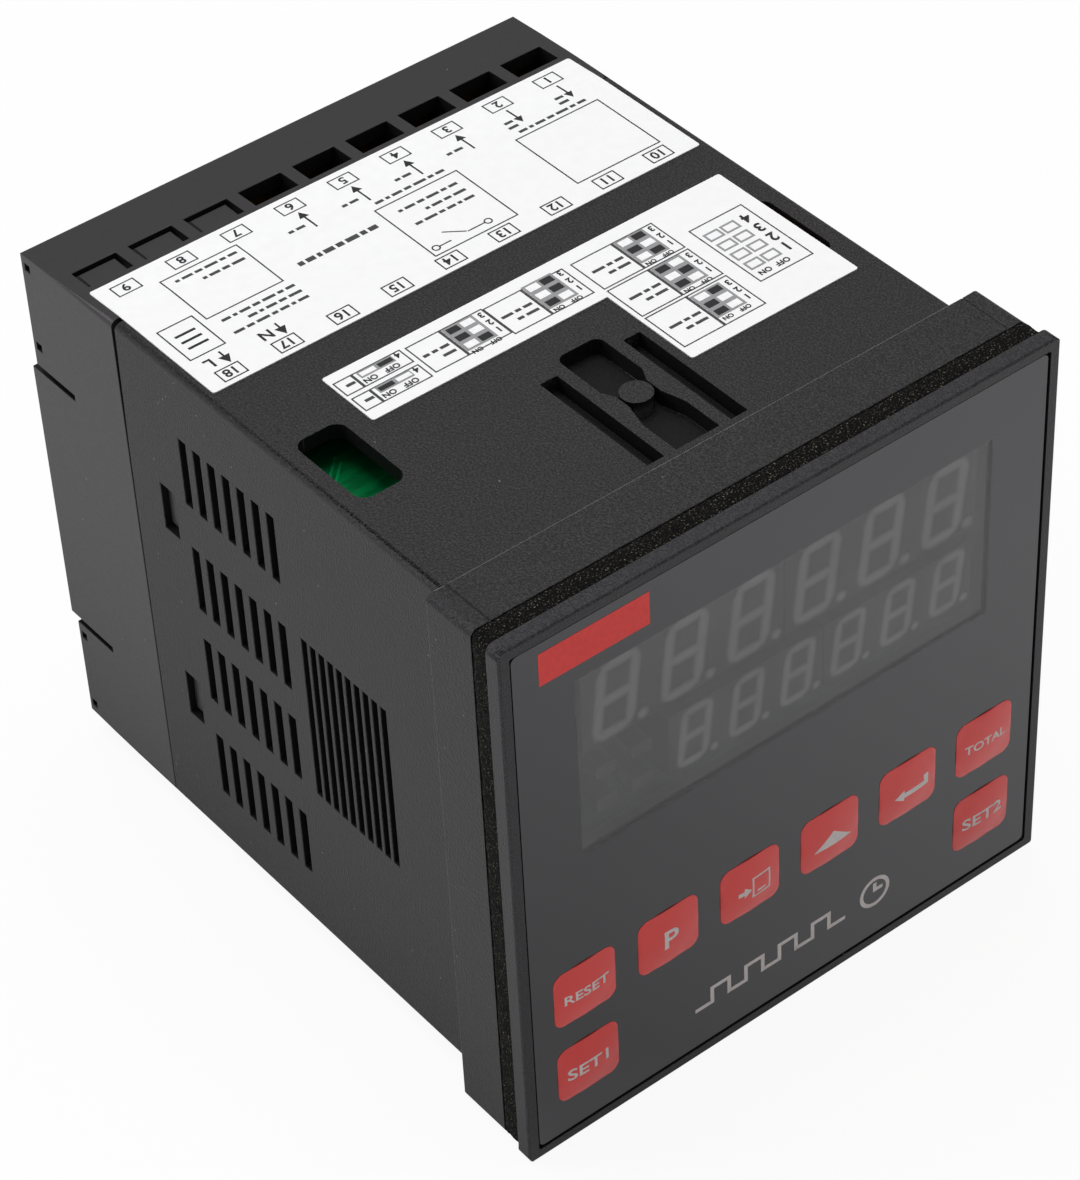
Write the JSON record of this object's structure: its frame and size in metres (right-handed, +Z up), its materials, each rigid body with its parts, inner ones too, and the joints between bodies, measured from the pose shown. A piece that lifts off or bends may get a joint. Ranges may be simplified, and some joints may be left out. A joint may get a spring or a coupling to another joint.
{
  "type": "panel counter",
  "caption": "Square panel counter with a film keypad, smoked digital display, foam seal, vented black housing, clipped rear cover and screw terminals.",
  "frame": {"origin": "centre of the rear face of the housing's collar, the plane that seats on the panel", "axes": "+X to the right seen from the front, +Y through the panel towards the terminals, +Z up"},
  "size_m": [0.072, 0.0868, 0.072],
  "materials": {
    "bezel_plastic": "fine moulded grain, black",
    "housing_plastic": "fine spark-eroded moulding grain, black",
    "cover_plastic": "smooth satin moulding, black",
    "overlay_film": "semi-gloss printed film, dark grey",
    "smoked_window": "smoked clear area of the film",
    "key_film": "semi-gloss embossed film, red",
    "sealing_foam": "cut cellular foam rubber, black",
    "label_paper": "matt white label",
    "circuit_board": "green solder mask",
    "digit_plastic": "grey display face with pale segments",
    "lamp_plastic": "milky lamp body",
    "switch_plastic": "black moulding",
    "plunger_plastic": "natural moulding",
    "switch_block_plastic": "red moulding",
    "slider_plastic": "white moulding",
    "chip_epoxy": "black moulded package",
    "ferrite": "sintered ferrite",
    "coil_tape": "yellow insulating tape",
    "relay_plastic": "blue moulded case",
    "capacitor_sleeve": "shrink sleeve",
    "contact_brass": "tinned brass strip",
    "steel": "zinc-plated steel"
  },
  "bodies": {
    "case": {"front_bezel": "bezel_plastic", "front_overlay": "overlay_film", "display_window": "smoked_window", "panel_gasket": "sealing_foam", "housing": "housing_plastic", "rear_cover": "cover_plastic", "wiring_label": "label_paper", "settings_label": "label_paper", "display_board": "circuit_board", "upper_digits": "digit_plastic", "lower_digits": "digit_plastic", "indicator_leds": "lamp_plastic", "switch_cases": "switch_plastic", "board_screws": "steel", "main_board": "circuit_board", "power_board": "circuit_board", "board_headers": "switch_plastic", "controller_chip": "chip_epoxy", "switch_block": "switch_block_plastic", "transformer_core": "ferrite", "transformer_coil": "coil_tape", "output_relay": "relay_plastic", "capacitors": "capacitor_sleeve", "upper_contacts": "contact_brass", "lower_contacts": "contact_brass", "upper_screws": "steel", "lower_screws": "steel"},
    "reset_button": {"reset_key": "key_film", "reset_plunger": "plunger_plastic"},
    "set_1_button": {"set_1_key": "key_film", "set_1_plunger": "plunger_plastic"},
    "program_button": {"program_key": "key_film", "program_plunger": "plunger_plastic"},
    "shift_button": {"shift_key": "key_film", "shift_plunger": "plunger_plastic"},
    "up_button": {"up_key": "key_film", "up_plunger": "plunger_plastic"},
    "enter_button": {"enter_key": "key_film", "enter_plunger": "plunger_plastic"},
    "total_button": {"total_key": "key_film", "total_plunger": "plunger_plastic"},
    "set_2_button": {"set_2_key": "key_film", "set_2_plunger": "plunger_plastic"},
    "setting_slider_1": {"slider_1": "slider_plastic"},
    "setting_slider_2": {"slider_2": "slider_plastic"},
    "setting_slider_3": {"slider_3": "slider_plastic"},
    "setting_slider_4": {"slider_4": "slider_plastic"}
  },
  "joints": [
    {"name": "reset_press", "type": "slide", "parent": "case", "child": "reset_button", "axis": [0, 1, 0], "range_m": [0, 0.0003], "stiffness_N_per_m": 2000},
    {"name": "set_1_press", "type": "slide", "parent": "case", "child": "set_1_button", "axis": [0, 1, 0], "range_m": [0, 0.0003], "stiffness_N_per_m": 2000},
    {"name": "program_press", "type": "slide", "parent": "case", "child": "program_button", "axis": [0, 1, 0], "range_m": [0, 0.0003], "stiffness_N_per_m": 2000},
    {"name": "shift_press", "type": "slide", "parent": "case", "child": "shift_button", "axis": [0, 1, 0], "range_m": [0, 0.0003], "stiffness_N_per_m": 2000},
    {"name": "up_press", "type": "slide", "parent": "case", "child": "up_button", "axis": [0, 1, 0], "range_m": [0, 0.0003], "stiffness_N_per_m": 2000},
    {"name": "enter_press", "type": "slide", "parent": "case", "child": "enter_button", "axis": [0, 1, 0], "range_m": [0, 0.0003], "stiffness_N_per_m": 2000},
    {"name": "total_press", "type": "slide", "parent": "case", "child": "total_button", "axis": [0, 1, 0], "range_m": [0, 0.0003], "stiffness_N_per_m": 2000},
    {"name": "set_2_press", "type": "slide", "parent": "case", "child": "set_2_button", "axis": [0, 1, 0], "range_m": [0, 0.0003], "stiffness_N_per_m": 2000},
    {"name": "setting_slide_1", "type": "slide", "parent": "case", "child": "setting_slider_1", "axis": [1, 0, 0], "range_m": [0, 0.0016]},
    {"name": "setting_slide_2", "type": "slide", "parent": "case", "child": "setting_slider_2", "axis": [1, 0, 0], "range_m": [0, 0.0016]},
    {"name": "setting_slide_3", "type": "slide", "parent": "case", "child": "setting_slider_3", "axis": [1, 0, 0], "range_m": [0, 0.0016]},
    {"name": "setting_slide_4", "type": "slide", "parent": "case", "child": "setting_slider_4", "axis": [1, 0, 0], "range_m": [0, 0.0016]}
  ]
}
